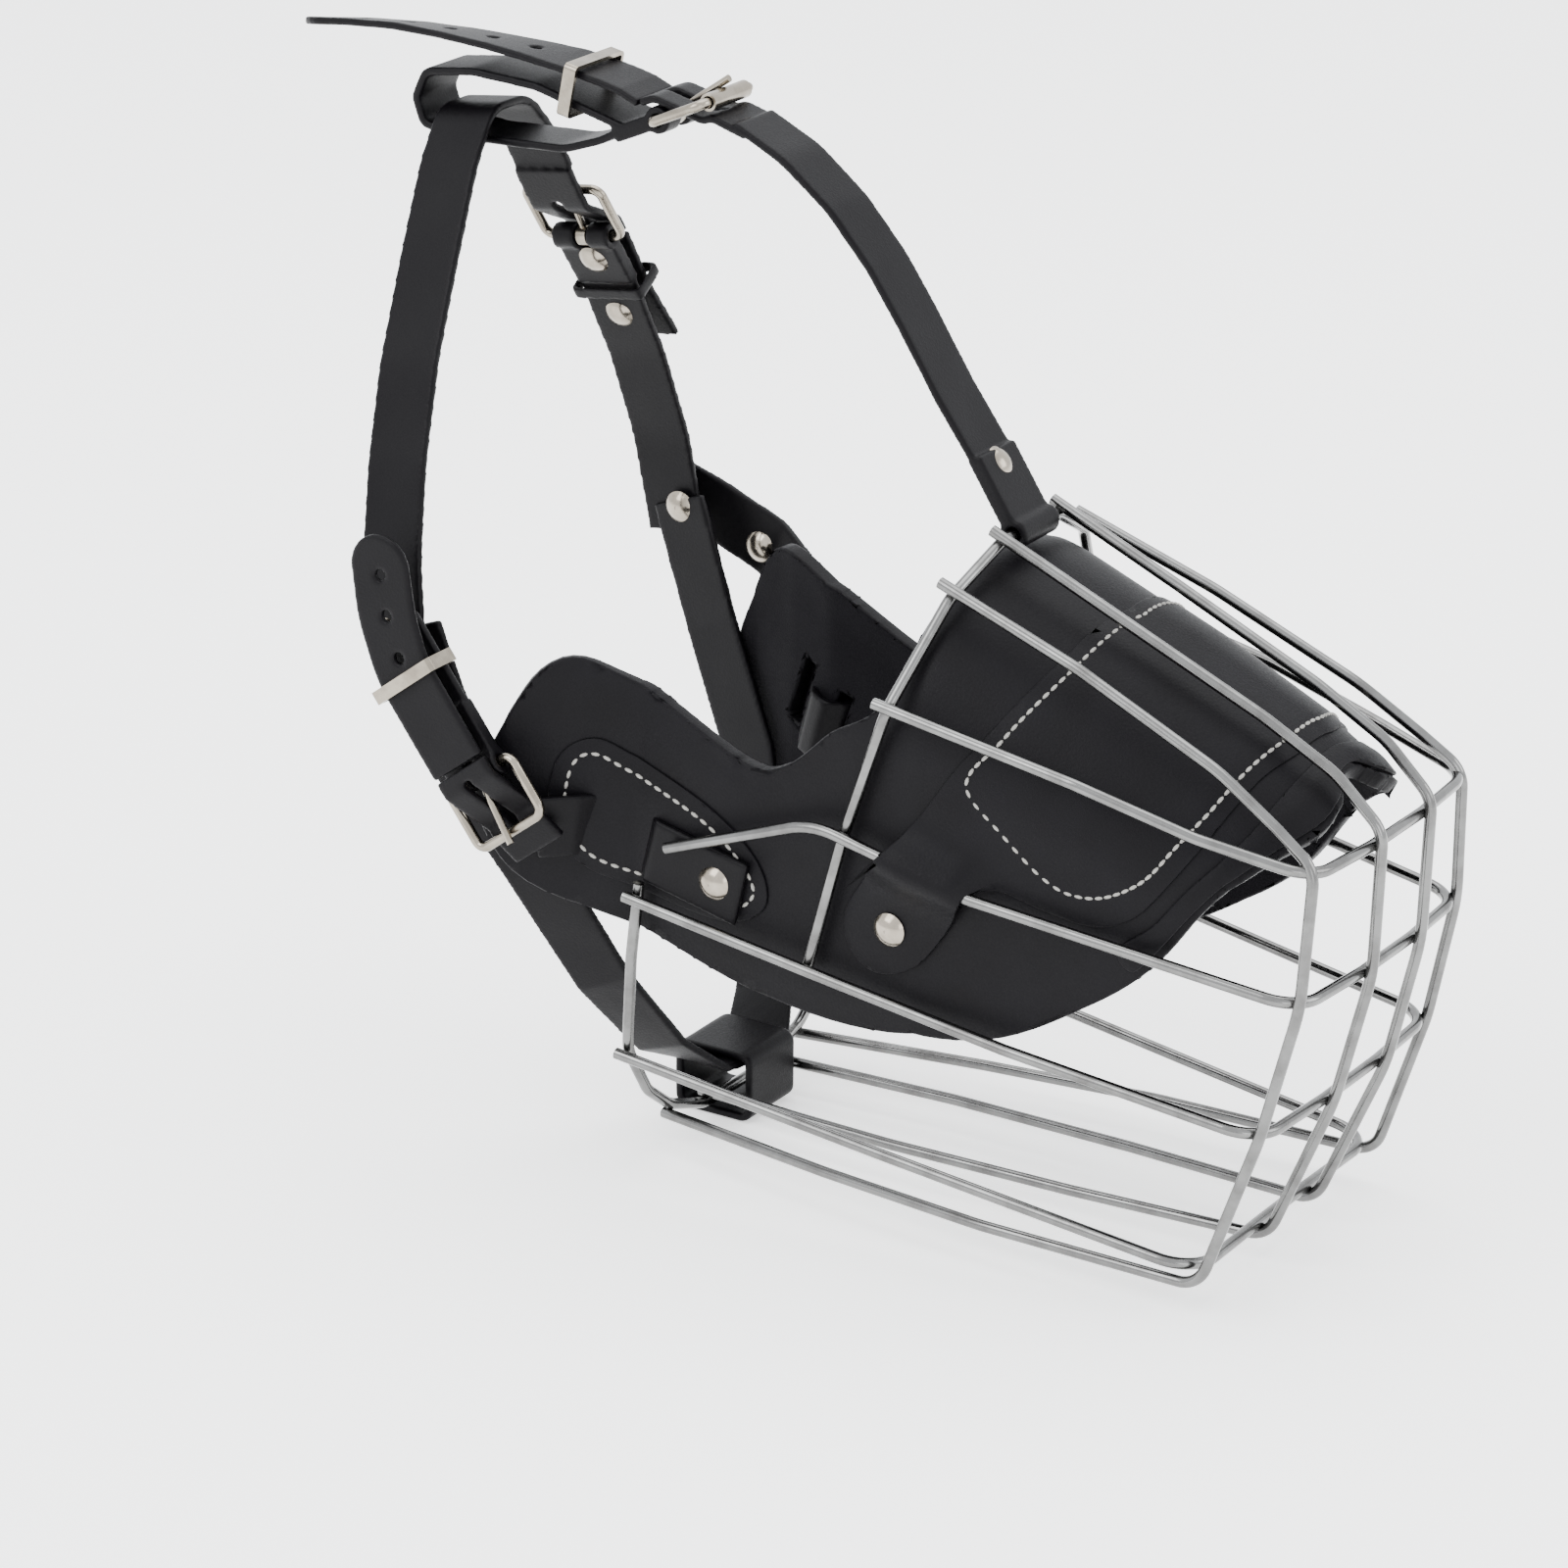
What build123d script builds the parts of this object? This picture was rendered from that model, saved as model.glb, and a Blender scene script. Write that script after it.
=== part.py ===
"""Basket muzzle for a large dog: welded wire cage, padded leather nose pad and head harness.

Millimetres. +X points to the nose, +Y to the dog's left and +Z up. The origin is the middle of
the cage's floor at its front, under the chin. The muzzle is shown as it sits on a head, with the
harness standing.
"""
import os
from build123d import *

os.makedirs("parts", exist_ok=True)

# Driving dimensions
WIRE = 3.4  # cage wire diameter
STRAP = 20.0  # width of every harness strap
SKIN = 2.4  # strap leather thickness
SHELL = 2.2  # nose pad leather thickness
FELT = 2.8  # nose pad lining thickness
PATCH = 1.3  # sewn-on patch thickness
GAP = 0.1  # air between two sewn layers
BUCKLE_LENGTH = 19.0  # bar to bar
BUCKLE_HALF = 13.5  # half the width between the buckle's side rails
BUCKLE_WIRE = 3.0  # buckle wire diameter
PIN = 2.2  # tongue diameter
CLEAR = 0.35  # running clearance round a bar


def save(name, part):
    """Label a finished piece and write it to its own file."""
    part.label = name
    export_step(part, f"parts/{name}.step")


def join(name, *pieces):
    """Save pieces that are sewn or folded from one length as a single solid."""
    with BuildPart() as whole:
        for piece in pieces:
            add(piece)
    save(name, whole.part)


# ---------------------------------------------------------------- cage wires
def bent_wire(points, radius):
    """A round wire along straight runs joined by tangent bends."""
    with BuildPart() as rod:
        with BuildLine() as run:
            FilletPolyline(*points, radius=radius)
        with BuildSketch(Plane(origin=run.wire() @ 0, z_dir=run.wire() % 0)):
            Circle(WIRE / 2)
        sweep(path=run.wire())
    return rod.part


def both_sides(side):
    """The right-hand half of a symmetric route, rear end first, and its mirror image."""
    return side + [(x, -y, z) for x, y, z in reversed(side)]


# Four wires run round the sides and the front; each is a U seen from above.
HOOP_CORNER = 12.0
HOOPS = {
    "muzzle_hoop_1": [(-102, -61.8, 156), (-40, -58.5, 144), (-4, -54.5, 134.5), (27.9, -46.9, 127.5),
                      (29.9, -15, 127)],
    "muzzle_hoop_2": [(-170, -62.5, 98.5), (-121, -62.3, 116.3), (-72, -59.8, 103.5),
                      (26.4, -48.9, 89.5), (28.4, -15, 89.2)],
    "muzzle_hoop_3": [(-184.5, -62.5, 80.5), (-125, -62.2, 71.6), (-60, -58.5, 60.5),
                      (17.6, -52.2, 49.5), (18.9, -16, 49)],
    "muzzle_hoop_4": [(-187.5, -62.3, 30.5), (-100, -59, 19), (0.4, -54, 5.9), (-0.6, -14.5, 5.6)],
}
for name, side in HOOPS.items():
    bends = [25.0] * (len(side) - 3) + [HOOP_CORNER, 25.0]
    save(name, bent_wire(both_sides(side), bends + bends[::-1]))

# Four more run from the nose arch over the front and back under the chin.
LONG_OUTER = [(-95, -38.4, 186), (-50, -40, 170), (-4, -42, 149.8), (15, -43.8, 138), (27.6, -45.3, 129.3),
              (26.4, -48.2, 89.5), (17.4, -51.6, 49.5), (1.5, -54, 1.7), (-70, -52.5, 1.7),
              (-126, -46, 1.7), (-188, -36, 1.7)]
LONG_INNER = [(-91, -17, 196), (-50, -16.8, 178), (-4, -16, 157.5), (18, -15.4, 145.5), (32.8, -15, 131.5),
              (31.6, -15, 89.2), (22.1, -16, 49), (2.3, -14.5, 1.7), (-60, -18, 1.7), (-120, -19, 1.7),
              (-188, -16, 1.7)]
LONG_BENDS = [60, 60, 25, 10, 60, 60, 9, 60, 60]
for name, route, side in (("right_outer_wire", LONG_OUTER, 1), ("left_outer_wire", LONG_OUTER, -1),
                          ("right_inner_wire", LONG_INNER, 1), ("left_inner_wire", LONG_INNER, -1)):
    save(name, bent_wire([(x, y * side, z) for x, y, z in route], LONG_BENDS))

# The nose arch crosses under the wires at the eyes; the chin wire closes the cage below the jaw.
ARCH = [(-124.6, -59, 70), (-113, -58.9, 113), (-99.5, -58.6, 153.5), (-92.2, -37.6, 181.5),
        (-88.5, -15, 193)]
save("nose_arch_wire", bent_wire(both_sides(ARCH), [40, 14, 9, 12, 12, 9, 14, 40]))
CHIN = [(-181.4, -59.3, 84.2), (-184.2, -59.2, 60), (-185.5, -59.1, 31), (-186, -48, 14),
        (-186, -36, 4.9), (-186, -17, -1.7)]
save("chin_wire", bent_wire(both_sides(CHIN), [60, 12, 12, 16, 16, 16, 16, 12, 12, 60]))

# ---------------------------------------------------------------- nose pad
# Half-width of the pad's outer face and height of its crown at stations along the snout.
STATIONS = [(-246, 80, 192), (-220, 71.5, 192), (-200, 61, 192), (-184, 55.4, 192), (-140, 55, 192),
            (-92, 55.6, 188), (-40, 51.5, 168), (0, 46.8, 150.5), (26, 42, 136)]
RISE = 50.0  # height of the rounded top of the cross-section

PAD_OUTLINE = [(8, 151), (19, 138), (6, 121), (-20, 90), (-42, 73), (-69, 59), (-100, 54.5), (-141, 56),
               (-180, 67), (-215, 80), (-229, 104), (-220, 130), (-206, 149), (-186, 144),
               (-150, 126.5), (-136, 128), (-121, 141), (-104, 155), (-97, 184), (-95, 215), (8, 215)]
PATCH_OUTLINE = [(-79, 129), (-52, 114), (-40, 109.5), (-28, 112), (-14, 126), (-13, 140), (-20, 157),
                 (-20, 175), (-40, 190), (-63, 195), (-63, 176), (-70, 150)]
BORDER_OUTLINE = [(8, 151), (19, 138), (6, 121), (-20, 90), (-29, 83), (-35, 91), (-14, 109), (4, 131),
                  (7, 140), (-2, 152), (-2, 180), (8, 180)]
WING_PATCH_OUTLINE = [(-206, 119), (-196, 126), (-183, 121), (-158, 110), (-143, 97), (-141, 84),
                      (-155, 77), (-182, 81), (-200, 87), (-208, 101)]
SLITS = [(-183, 98.2), (-196, 105.2)]  # where the cheek tabs go through the wings
SLIT_LEAN = 20.0  # degrees each slit leans from upright
SLIT_WIDTH = 6.4


def saddle(shift):
    """The solid under the pad's outer face, moved outwards by shift."""
    with BuildPart() as block:
        for x, half, crown in STATIONS:
            with BuildSketch(Plane.YZ.offset(x)):
                with BuildLine():
                    spring = crown - RISE
                    edge = half + shift
                    Polyline((edge, spring), (edge, 0), (-edge, 0), (-edge, spring))
                    EllipticalCenterArc((0, spring), edge, RISE + shift, start_angle=0, arc_size=180)
                make_face()
        loft(ruled=True)
    return block.part


def draped(outline, outer, inner, smooth, side=None):
    """One layer of the pad: the skin between two shifts, cut to an outline seen from the side."""
    block, core = saddle(outer), saddle(inner)
    with BuildPart() as layer:
        add(block)
        add(core, mode=Mode.SUBTRACT)
        with BuildSketch(Plane.XZ):
            with BuildLine():
                if smooth:
                    Spline(*outline, periodic=True)
                else:
                    Polyline(*outline, close=True)
            make_face()
        extrude(amount=100 if side is None else 100 * side, both=side is None, mode=Mode.INTERSECT)
        for x, z in SLITS:
            with Locations(Location((x, 0, z), (0, SLIT_LEAN, 0))):
                Box(SLIT_WIDTH, 200, STRAP + 3, mode=Mode.SUBTRACT)
    return layer.part


save("nose_pad", draped(PAD_OUTLINE, 0, -SHELL, False))
save("pad_lining", draped([(x + 1.5 * (x < -90) - 2 * (x > 0), z + 2 * (z < 100) - 1.5 * (90 < z < 200))
                           for x, z in PAD_OUTLINE], -SHELL - GAP, -SHELL - GAP - FELT, False))
save("nose_patch", draped(PATCH_OUTLINE, PATCH + GAP, GAP, False))
save("front_border", draped(BORDER_OUTLINE, PATCH + GAP, GAP, False))
for name, side in (("right_wing_patch", 1), ("left_wing_patch", -1)):
    save(name, draped(WING_PATCH_OUTLINE, PATCH + GAP, GAP, True, side))


# A flap of pad leather passes over the second hoop on each side and is riveted below it.
FLAP_SKIN = 1.8
FLAP_OUTLINE = [(-83, 137), (-107, 101), (-110, 83), (-103, 74), (-95, 73), (-87, 81), (-71, 106), (-66, 122)]
FLAP_SECTIONS = [(-112, 56.2, 62.0, 114.0), (-64, 54.2, 59.3, 102.5)]  # x, pad face, hoop y and z


def flap(side):
    """The right flap for side -1 and the left one for side 1."""
    with BuildPart() as piece:
        for x, face, hoop_y, hoop_z in FLAP_SECTIONS:
            near = face + 0.3
            over = hoop_y + WIRE / 2 + 0.3
            inner = [(near, hoop_z + 30), (near, hoop_z + 12), (over, hoop_z + 2.5),
                     (over, hoop_z - 2.5), (near, hoop_z - 12), (near, 60)]
            outer = [(y + FLAP_SKIN, z) for y, z in reversed(inner)]
            with BuildSketch(Plane.YZ.offset(x)):
                with BuildLine():
                    Polyline([(side * y, z) for y, z in inner + outer], close=True)
                make_face()
        loft(ruled=True)
        with BuildSketch(Plane.XZ):
            with BuildLine():
                Polyline(FLAP_OUTLINE, close=True)
            make_face()
        extrude(amount=100, both=True, mode=Mode.INTERSECT)
    return piece.part


save("right_wire_flap", flap(-1))
save("left_wire_flap", flap(1))

# ---------------------------------------------------------------- rivets
RIVET_HEAD = 5.0  # head radius
RIVET_RISE = 2.2  # head height
RIVET_SHANK = 1.4  # shank radius
RIVET_CURVE = (RIVET_HEAD**2 + RIVET_RISE**2) / (2 * RIVET_RISE)
RIVET_BACK = 3.2  # radius of the flat washer at the back


def rivet(grip, back=True):
    """A domed rivet whose head sits on z = 0 and whose shank grips what is below."""
    with BuildPart() as piece:
        with Locations((0, 0, RIVET_RISE - RIVET_CURVE)):
            Sphere(RIVET_CURVE)
        split(bisect_by=Plane.XY, keep=Keep.TOP)
        with Locations((0, 0, -grip / 2)):
            Cylinder(RIVET_SHANK, grip)
        if back:
            with Locations((0, 0, -grip - 0.4)):
                Cylinder(RIVET_BACK, 0.8)
    return piece.part


def place_rivets(spots, grip, back=True):
    """Rivets at points, each with its head facing along the direction given with it."""
    pin = rivet(grip, back)
    with BuildPart() as group:
        with Locations(*[Plane(origin=at, z_dir=facing).location for at, facing in spots]):
            add(pin)
    return group.part


# Each flap and each cheek tab is riveted through its wing.
wing_spots = []
for side in (-1, 1):
    wing_spots.append(((-98, side * (56.2 + 0.3 + FLAP_SKIN), 88), (0, side, 0)))
save("flap_rivets", place_rivets(wing_spots, SHELL + FELT + FLAP_SKIN + 1.2))
tab_spots = [((-156, side * 59.3, 89.6), (0, side, 0)) for side in (-1, 1)]
inner_tab_spot = [((-211.1, 68.4, 128.8), (-0.465, -0.886, 0))]
join("tab_rivets", place_rivets(tab_spots, SHELL + FELT + PATCH + SKIN + 1.0),
     place_rivets(inner_tab_spot, 1.0, back=False))


# ---------------------------------------------------------------- straps
def strap(points, radius, across, width=STRAP, skin=SKIN):
    """A flat strap along straight runs joined by tangent bends; across is the way its width lies."""
    with BuildPart() as band:
        with BuildLine() as run:
            if len(points) == 2:
                Line(*points)
            else:
                FilletPolyline(*points, radius=radius)
        with BuildSketch(Plane(origin=run.wire() @ 0, x_dir=across, z_dir=run.wire() % 0)):
            Rectangle(width, skin)
        sweep(path=run.wire())
    return band.part


FOLD_BORE = BUCKLE_WIRE / 2 + CLEAR
FOLD_OUTER = FOLD_BORE + 2.2
SLOT = 4.6  # opening in a fold for the tongue's eye
TONGUE_SLOT = 3.2  # opening in a strap for the tongue's prong


def fold(seat, length, bore=FOLD_BORE, slot=True):
    """A strap end folded round a bar at the seat's origin; the two layers run towards -X."""
    with BuildPart() as end:
        with BuildSketch(seat * Plane.XZ):
            Circle(bore + 2.2)
            with Locations((-length / 2, 0)):
                Rectangle(length, 4.6)
            Circle(bore, mode=Mode.SUBTRACT)
        extrude(amount=STRAP / 2, both=True)
        if slot:
            with Locations(seat * Location((2, 0, 0))):
                Box(12, SLOT, 12, mode=Mode.SUBTRACT)
    return end.part


def through(seat, entry, leave, bar_drop):
    """The strap that comes in under the buckle's front bar, goes over the fold and leaves behind it."""
    route = [entry, (BUCKLE_LENGTH - 1, 0, -bar_drop), (BUCKLE_LENGTH - 4, 0, -bar_drop),
             (1.5, 0, FOLD_OUTER + 2.1), leave]
    points = [tuple((seat * Location(p)).position) for p in route]
    band = strap(points, [3.5, 4, 4], tuple(seat.y_dir))
    with BuildPart() as piece:
        add(band)
        with Locations(seat * Location((BUCKLE_LENGTH / 2 - 0.5, 0, 0))):
            Box(BUCKLE_LENGTH - 1.5, TONGUE_SLOT, 30, mode=Mode.SUBTRACT)
    return piece.part


# Buckle seats: origin on the rear bar, X towards the front bar, Z outwards.
CROWN_SEAT = Plane(origin=(-208, 0, 295), x_dir=(0.914, 0, 0.406), z_dir=(-0.406, 0, 0.914))
CHEEK_SEAT = Plane(origin=(-223.4, -78.8, 115.2), x_dir=(0.6, 0, -0.8), z_dir=(0, -1, 0))
HOOP_PLANE = Plane(origin=(-256, 0, 150), x_dir=(0, 1, 0), z_dir=(0.9915, 0, 0.13))
NECK_BAR = (42.7, 90.7)
NECK_ALONG = (-0.51, 0.86)


def in_hoop(a, b):
    """A point of the neck strap's plane, from its sideways and upward distances."""
    return tuple((HOOP_PLANE * Location((a, b, 0))).position)


def hoop_way(a, b):
    """A direction in the neck strap's plane."""
    return tuple(HOOP_PLANE.x_dir * a + HOOP_PLANE.y_dir * b)


NECK_SEAT = Plane(origin=in_hoop(*NECK_BAR), x_dir=hoop_way(*NECK_ALONG),
                  z_dir=hoop_way(NECK_ALONG[1], -NECK_ALONG[0]))

# Crown strap: folded round the nose arch, over the forehead to the crown buckle.
ARCH_TOP = (-88.5, 0, 193)
ARCH_SEAT = Plane(origin=ARCH_TOP, x_dir=(0.55, 0, -0.835), z_dir=(0.835, 0, 0.55))
CROWN_ROUTE = [(-94, 0, 201.4), (-114, 0, 228.5), (-126, 0, 247), (-137, 0, 262.5), (-150, 0, 277),
               (-166, 0, 289.5), (-182, 0, 297.2)]
ROLLER = 2.6  # outer radius of the roller on the crown buckle's front bar
BAR_DROP = BUCKLE_WIRE / 2 + 0.9 + SKIN / 2
ROLLER_DROP = ROLLER + 0.6 + SKIN / 2

join("crown_strap", strap(CROWN_ROUTE, 30, (0, 1, 0)),
     fold(ARCH_SEAT, 24, bore=WIRE / 2 + 0.5, slot=False),
     through(CROWN_SEAT, (27, 0, -12.2), (-3.5, 0, FOLD_OUTER + 2.3), ROLLER_DROP))

# Crown loop: a band sewn round the neck strap with slack; its front end holds the crown buckle.
LOOP_ROUTE = [(-219, 0, 290.7), (-228, 0, 286), (-240, 0, 281.9), (-272, 0, 280.6), (-289.5, 0, 282.2),
              (-292.2, 0, 290), (-288.5, 0, 298), (-272, 0, 300.2), (-250, 0, 299), (-219, 0, 290.9)]
join("crown_loop", strap(LOOP_ROUTE, [20, 20, 20, 3.5, 3, 3.5, 20, 20], (0, 1, 0)), fold(CROWN_SEAT, 16))

# Neck strap: from the right joint over the neck and down to the left buckle.
NECK_ROUTE = [(-73.8, -5), (-70.5, 22), (-63, 47), (-51, 75), (-37, 99.5), (-21, 126), (-9, 140),
              (9, 140), (20, 127), (26, 115.5)]
NECK_LOWER = [(51.5, 75.8), (62.5, 50), (70.5, 22), (73.8, -9)]
across_hoop = tuple(HOOP_PLANE.z_dir)
join("neck_strap", strap([in_hoop(*p) for p in NECK_ROUTE], [60, 60, 60, 60, 40, 12, 12, 30], across_hoop),
     through(NECK_SEAT, (30, 0, -3.0), (-3.5, 0, FOLD_OUTER + 2.3), BAR_DROP))
join("left_buckle_strap", strap([in_hoop(*p) for p in NECK_LOWER], 60, across_hoop), fold(NECK_SEAT, 18))

# Cheek straps: the right one holds a buckle, the left one lies over its tab and is riveted to it.
RIGHT_JOINT = (-253, -78.8, 154.7)
join("right_buckle_strap", strap([RIGHT_JOINT, (-235, -78.8, 130.7)], 0, (0.8, 0, 0.6)),
     fold(CHEEK_SEAT, 20))
LEFT_CHEEK_ROUTE = [(-259, 79.0, 153), (-248, 82.2, 147.5), (-226, 83.2, 137.6), (-203, 71.2, 127.2)]
save("left_cheek_strap", strap(LEFT_CHEEK_ROUTE, [30, 12], (0.42, 0, 0.9)))

# Cheek tabs: riveted to the wings, threaded through both slits and out again.
TAB_ROUTE = [(-147, -58.1, 87.5), (-177.5, -58.1, 94.6), (-187, -47.6, 96.9), (-192, -49.5, 98.2),
             (-200.5, -64.2, 99.6), (-208, -71.5, 99.6)]
TAB_BENDS = [3, 2.5, 2.5, 3]
TAB_ACROSS = (0.23, 0, 0.97)
join("right_cheek_tab", strap(TAB_ROUTE, TAB_BENDS, TAB_ACROSS),
     through(CHEEK_SEAT, (27, 0, -7.2), (-3.5, 0, FOLD_OUTER + 2.3), BAR_DROP))
LEFT_TAB_ROUTE = [(x, -y, z) for x, y, z in TAB_ROUTE[:4]] + [(-200.5, 64.4, 100), (-212, 70.6, 101.5)]
join("left_cheek_tab", strap(LEFT_TAB_ROUTE, TAB_BENDS, TAB_ACROSS),
     strap([(-208, 68.2, 98), (-216, 72.4, 134)], 0, (0.858, -0.45, 0.25)))


def ribbon(stations, skin):
    """A twisting strap through stations, each a point of its middle and the way its width lies."""
    with BuildPart() as band:
        for i, (spot, across) in enumerate(stations):
            before = Vector(stations[max(i - 1, 0)][0])
            after = Vector(stations[min(i + 1, len(stations) - 1)][0])
            with BuildSketch(Plane(origin=spot, x_dir=across, z_dir=after - before)):
                Rectangle(STRAP, skin)
        loft(ruled=True)
    return band.part


# Throat strap: hangs from both joints under the jaw; a leather loop ties it to the chin wire.
THROAT = [((-252.5, -70.6, 152), (0.86, 0.1, 0.5)), ((-239, -68.5, 115), (0.88, 0.1, 0.46)),
          ((-218.5, -58.5, 80), (0.9, 0.1, 0.42)), ((-203.5, -44, 43), (0.94, 0.05, 0.33)),
          ((-193.5, -28.5, 19.5), (0.98, 0, 0.2)), ((-187, -14.5, 10.4), (1, 0, 0)), ((-186, 0, 9.4), (1, 0, 0))]
save("throat_strap", ribbon(THROAT + [((x, -y, z), (a, -b, c)) for (x, y, z), (a, b, c)
                                      in reversed(THROAT[:-1])], SKIN))

THROAT_LOOP_HALF = 12.5
THROAT_LOOP_SIZE = (27.0, 22.0)
with BuildPart() as throat_loop:
    with BuildSketch(Plane.XZ):
        with Locations((-186, 3.6)):
            RectangleRounded(*THROAT_LOOP_SIZE, 4)
            RectangleRounded(*[side - 2 * SKIN for side in THROAT_LOOP_SIZE], 1.6, mode=Mode.SUBTRACT)
    extrude(amount=THROAT_LOOP_HALF, both=True)
save("throat_loop", throat_loop.part)

# ---------------------------------------------------------------- strap tails
TAIL_START = -4.5  # where each tail begins, behind its buckle's rear bar
TAIL_SKIN = 2.2
TAIL_LIFT = FOLD_OUTER + 2.3  # height of a tail's middle over the rear bar
HOLE = 1.7  # radius of the punched holes
HOLE_PITCH = 15.0


def seat_points(seat, route):
    """Points given along and out from a buckle seat, in the model's frame."""
    return [tuple((seat * Location((x, 0, z))).position) for x, z in route]


# The crown tail runs level through its keeper and then twists a little, its right edge up.
CROWN_TAIL = seat_points(CROWN_SEAT, [(TAIL_START, TAIL_LIFT)]) + [
    (-221, 0, 301.6), (-228, 0, 303.2), (-236, 0, 304.6), (-245, 0, 305.8), (-256, 0, 306.8), (-268, 0, 307.6),
    (-284, 0, 308.2), (-300, 0, 308.2), (-318, 0, 307), (-336, 0, 305)]
CROWN_TWIST = [0, 0, 0, 0, 0, 0.05, 0.1, 0.15, 0.2, 0.2, 0.2]
crown_band = ribbon([(spot, (0, 1, -lean)) for spot, lean in zip(CROWN_TAIL, CROWN_TWIST)], TAIL_SKIN)
with BuildPart() as crown_tail:
    add(crown_band)
    with BuildSketch(Plane.XY):
        with Locations((CROWN_TAIL[-1][0] + STRAP / 2, 0)):
            Circle(STRAP / 2)
            with Locations((STRAP * 3.5, 0)):
                Rectangle(STRAP * 7, STRAP + 1)
    extrude(amount=400, mode=Mode.INTERSECT)
    with Locations(*[(-256 - HOLE_PITCH * i, 0, 307) for i in range(5)]):
        Cylinder(HOLE, 12, mode=Mode.SUBTRACT)
save("crown_tail", crown_tail.part)

NECK_TAIL = [(TAIL_START, TAIL_LIFT), (-14, 5.6), (-24, 4.6), (-46, 5.8)]
save("neck_tail", strap(seat_points(NECK_SEAT, NECK_TAIL), 14, across_hoop, skin=TAIL_SKIN))

# The cheek tail leaves the keeper in line with its strap and then bends up on its edge.
CHEEK_TAIL = [(-226.1, 118.8), (-245.4, 144.5), (-250.5, 160), (-252.4, 174)]
CHEEK_HOLES = [(-252.2, 172), (-250.2, 160), (-246, 148)]
with BuildPart() as cheek_tail:
    with BuildSketch(Plane(origin=(0, CHEEK_SEAT.origin.Y - TAIL_LIFT, 0), x_dir=(1, 0, 0), z_dir=(0, -1, 0))):
        with BuildLine() as middle:
            FilletPolyline(*CHEEK_TAIL, radius=40)
        trace(line_width=STRAP)
        with Locations(CHEEK_TAIL[-1]):
            Circle(STRAP / 2)
    extrude(amount=TAIL_SKIN / 2, both=True)
    with Locations(*[(x, CHEEK_SEAT.origin.Y - TAIL_LIFT, z) for x, z in CHEEK_HOLES]):
        Cylinder(HOLE, 12, rotation=(90, 0, 0), mode=Mode.SUBTRACT)
save("cheek_tail", cheek_tail.part)

# ---------------------------------------------------------------- buckles and keepers
SEATS = {"crown": CROWN_SEAT, "neck": NECK_SEAT, "cheek": CHEEK_SEAT}


def buckle_frame(seat):
    """One bent wire frame with a rear bar, a front bar and two side rails."""
    with BuildPart() as frame:
        with BuildLine(seat) as ring:
            FilletPolyline((0, -BUCKLE_HALF), (0, BUCKLE_HALF), (BUCKLE_LENGTH, BUCKLE_HALF),
                           (BUCKLE_LENGTH, -BUCKLE_HALF), radius=3, close=True)
        with BuildSketch(Plane(origin=ring.wire() @ 0, z_dir=ring.wire() % 0)):
            Circle(BUCKLE_WIRE / 2)
        sweep(path=ring.wire())
    return frame.part


def tongue(seat, rest):
    """An eye round the rear bar and a straight prong that rests on the front bar at height rest."""
    eye = FOLD_BORE + 1.2
    with BuildPart() as prong:
        with BuildSketch(seat * Plane.XZ):
            Circle(eye)
            Circle(FOLD_BORE, mode=Mode.SUBTRACT)
        extrude(amount=1.6, both=True)
        root = seat * Location((eye - 0.7, 0, 0.6))
        tip = seat * Location((BUCKLE_LENGTH + 3, 0, rest))
        with BuildLine() as run:
            Line(root.position, tip.position)
        with BuildSketch(Plane(origin=run.wire() @ 0, z_dir=run.wire() % 0)):
            Circle(PIN / 2)
        sweep(path=run.wire())
    return prong.part


KEEPER_WIDTH = 4.0


def keeper(seat, thick):
    """A flat metal band round two straps, square to them, centred on the seat's origin."""
    with BuildPart() as band:
        with BuildSketch(seat * Plane.YZ):
            RectangleRounded(STRAP + 5.2, thick + 2.4, 1.6)
            RectangleRounded(STRAP + 2.8, thick, 0.8, mode=Mode.SUBTRACT)
        extrude(amount=KEEPER_WIDTH / 2, both=True)
    return band.part


for name, seat in SEATS.items():
    bar = ROLLER if name == "crown" else BUCKLE_WIRE / 2
    save(f"{name}_buckle_frame", buckle_frame(seat))
    save(f"{name}_tongue", tongue(seat, bar + PIN / 2 + 0.7))
with BuildPart() as crown_roller:
    with BuildSketch(CROWN_SEAT * Plane.XZ):
        with Locations((BUCKLE_LENGTH, 0)):
            Circle(ROLLER)
            Circle(BUCKLE_WIRE / 2 + CLEAR, mode=Mode.SUBTRACT)
    extrude(amount=9.5, both=True)
save("crown_roller", crown_roller.part)

# Where each keeper sits, and how thick a pair of straps it takes.
KEEPER_SEATS = {
    "crown": (Plane(origin=(-237, 0, 300.0), x_dir=(1, 0, -0.2), z_dir=(0.2, 0, 1)), 13.6),
    "neck": (Plane(origin=(NECK_SEAT * Location((-21, 0, 2.6))).position, x_dir=NECK_SEAT.x_dir,
                   z_dir=NECK_SEAT.z_dir), 10.8),
    "cheek": (Plane(origin=(-243.5, -82.0, 142), x_dir=(0.6, 0, -0.8), z_dir=(0, -1, 0)), 10.2),
}
for name, (seat, thick) in KEEPER_SEATS.items():
    save(f"{name}_keeper", keeper(seat, thick))

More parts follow.
